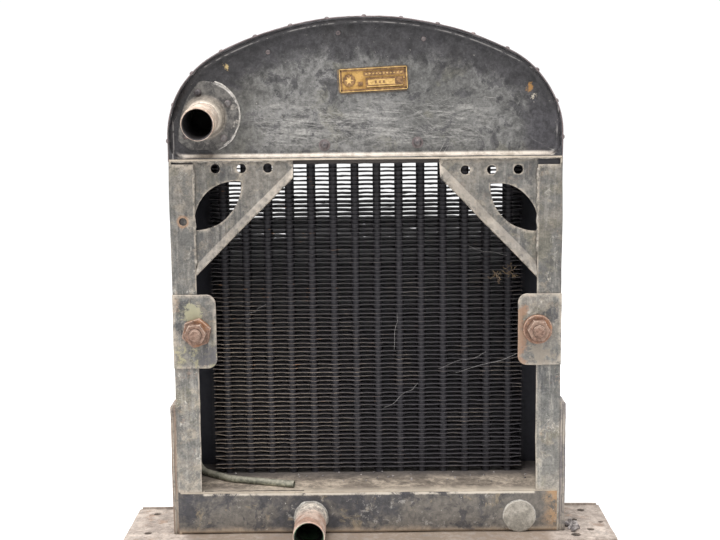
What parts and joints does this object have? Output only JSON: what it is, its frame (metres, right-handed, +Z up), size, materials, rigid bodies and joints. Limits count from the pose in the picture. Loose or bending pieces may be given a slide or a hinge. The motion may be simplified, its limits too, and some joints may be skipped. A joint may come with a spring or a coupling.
{
  "type": "car radiator",
  "caption": "Arch-topped water radiator for an early car: top and bottom tanks, finned tube core, side posts with gussets, hose stubs, foot plate and drain tap.",
  "frame": {"origin": "middle of the base plate's underside, on the object's centre line", "axes": "+X to the right as seen from the engine side, +Y towards the front of the car, +Z up"},
  "size_m": [0.566, 0.209, 0.5949],
  "materials": {
    "lead_patina": "dull dark grey lead and solder patina over copper sheet, scratched and dusty",
    "rolled_copper_rivet": "small rivet heads, dark with worn copper tops",
    "frame_steel": "worn grey-green and tan weathered sheet steel with light rust",
    "rusty_steel": "brown-orange rusted steel fasteners",
    "copper_pipe": "dull bare copper, dusty",
    "verdigris_pipe": "grey-green tarnished soft copper",
    "plate_brass": "ochre brass with dark grime in the relief",
    "fin_black": "near-black fins with paler brown edges",
    "tube_dark": "dark dirty tubes",
    "header_dust": "tan dust over soldered sheet",
    "tank_patina": "mottled dark grey sheet with ochre and white stains",
    "base_rust": "dusty tan and rust plate",
    "bush_brass": "tarnished brass"
  },
  "bodies": {
    "radiator": {"baffle_plate": "tube_dark", "base_plate": "base_rust", "blanking_disc": "tank_patina", "bottom_header_plate": "header_dust", "bottom_tank_shell": "tank_patina", "core_fins": "fin_black", "core_tubes_front": "tube_dark", "core_tubes_middle": "tube_dark", "core_tubes_rear": "tube_dark", "data_plate": "plate_brass", "data_plate_pins": "plate_brass", "drain_tap_body": "bush_brass", "filler_bush": "bush_brass", "inlet_flange": "lead_patina", "inlet_pipe": "copper_pipe", "inlet_rivets": "lead_patina", "left_bracket_plate": "frame_steel", "left_gusset": "frame_steel", "left_lock_nut": "rusty_steel", "left_post": "frame_steel", "left_side_strap": "frame_steel", "outlet_pipe": "copper_pipe", "overflow_clips": "verdigris_pipe", "overflow_pipe": "verdigris_pipe", "panel_rivets": "lead_patina", "right_bracket_plate": "frame_steel", "right_gusset": "frame_steel", "right_post": "frame_steel", "right_side_strap": "frame_steel", "right_washer": "rusty_steel", "rivet_backing_plates": "lead_patina", "stay_washers": "lead_patina", "strap_rivets": "frame_steel", "stud_bolts": "rusty_steel", "stud_nuts": "rusty_steel", "tank_stay_rods": "lead_patina", "top_header_plate": "header_dust", "top_tank_front_panel": "lead_patina", "top_tank_rear_panel": "lead_patina", "top_tank_wrap": "lead_patina", "wrap_rivets": "rolled_copper_rivet"},
    "tap_key": {"drain_tap_key": "bush_brass"}
  },
  "joints": [
    {"name": "drain_tap_turn", "type": "hinge", "parent": "radiator", "child": "tap_key", "pos_m": [0.15, 0.0985, 0.017], "axis": [0, 0, 1], "range_deg": [0, 90]}
  ]
}
